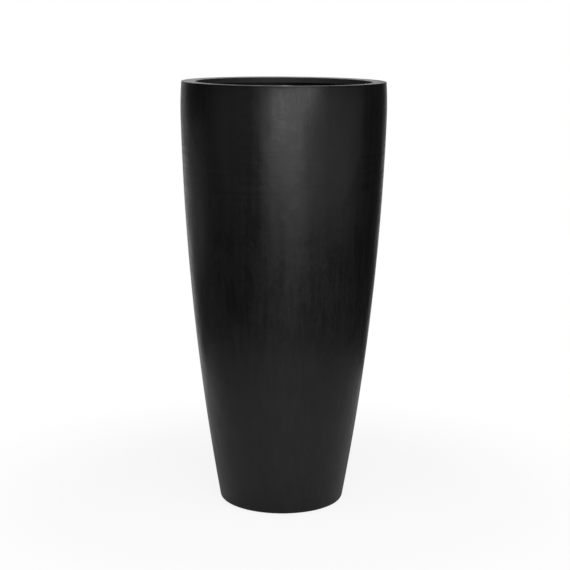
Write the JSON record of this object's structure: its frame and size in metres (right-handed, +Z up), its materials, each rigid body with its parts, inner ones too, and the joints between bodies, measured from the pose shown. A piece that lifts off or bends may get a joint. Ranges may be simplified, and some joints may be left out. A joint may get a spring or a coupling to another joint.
{
  "type": "tall round planter",
  "caption": "Tall round planter with a narrow foot, a swelling wall and a flat turned-in lip round an open mouth; its floor has a drain hole with a pull-out plug.",
  "frame": {"origin": "on the floor, under the middle of the planter", "axes": "+Z up along the planter's axis; X and Y are alike but for the four pads, which lie between them at 45 degrees"},
  "size_m": [0.4779, 0.478, 1],
  "materials": {
    "black_laminate": "satin matte black coat on sanded mineral-filled glass laminate, lightly mottled",
    "inner_laminate": "rough black-coated glass laminate",
    "bond_filler": "trowelled filler resin, black",
    "black_rubber": "matte moulded rubber"
  },
  "bodies": {
    "planter": {"outer_shell": "black_laminate", "rim_lip": "black_laminate", "rim_bond": "bond_filler", "base_panel": "inner_laminate", "base_bond": "bond_filler", "foot_pad_1": "black_rubber", "foot_pad_2": "black_rubber", "foot_pad_3": "black_rubber", "foot_pad_4": "black_rubber"},
    "plug": {"drain_plug": "black_rubber"}
  },
  "joints": [
    {"name": "plug_lift", "type": "slide", "parent": "planter", "child": "plug", "axis": [0, 0, 1], "range_m": [0, 1.02]}
  ]
}
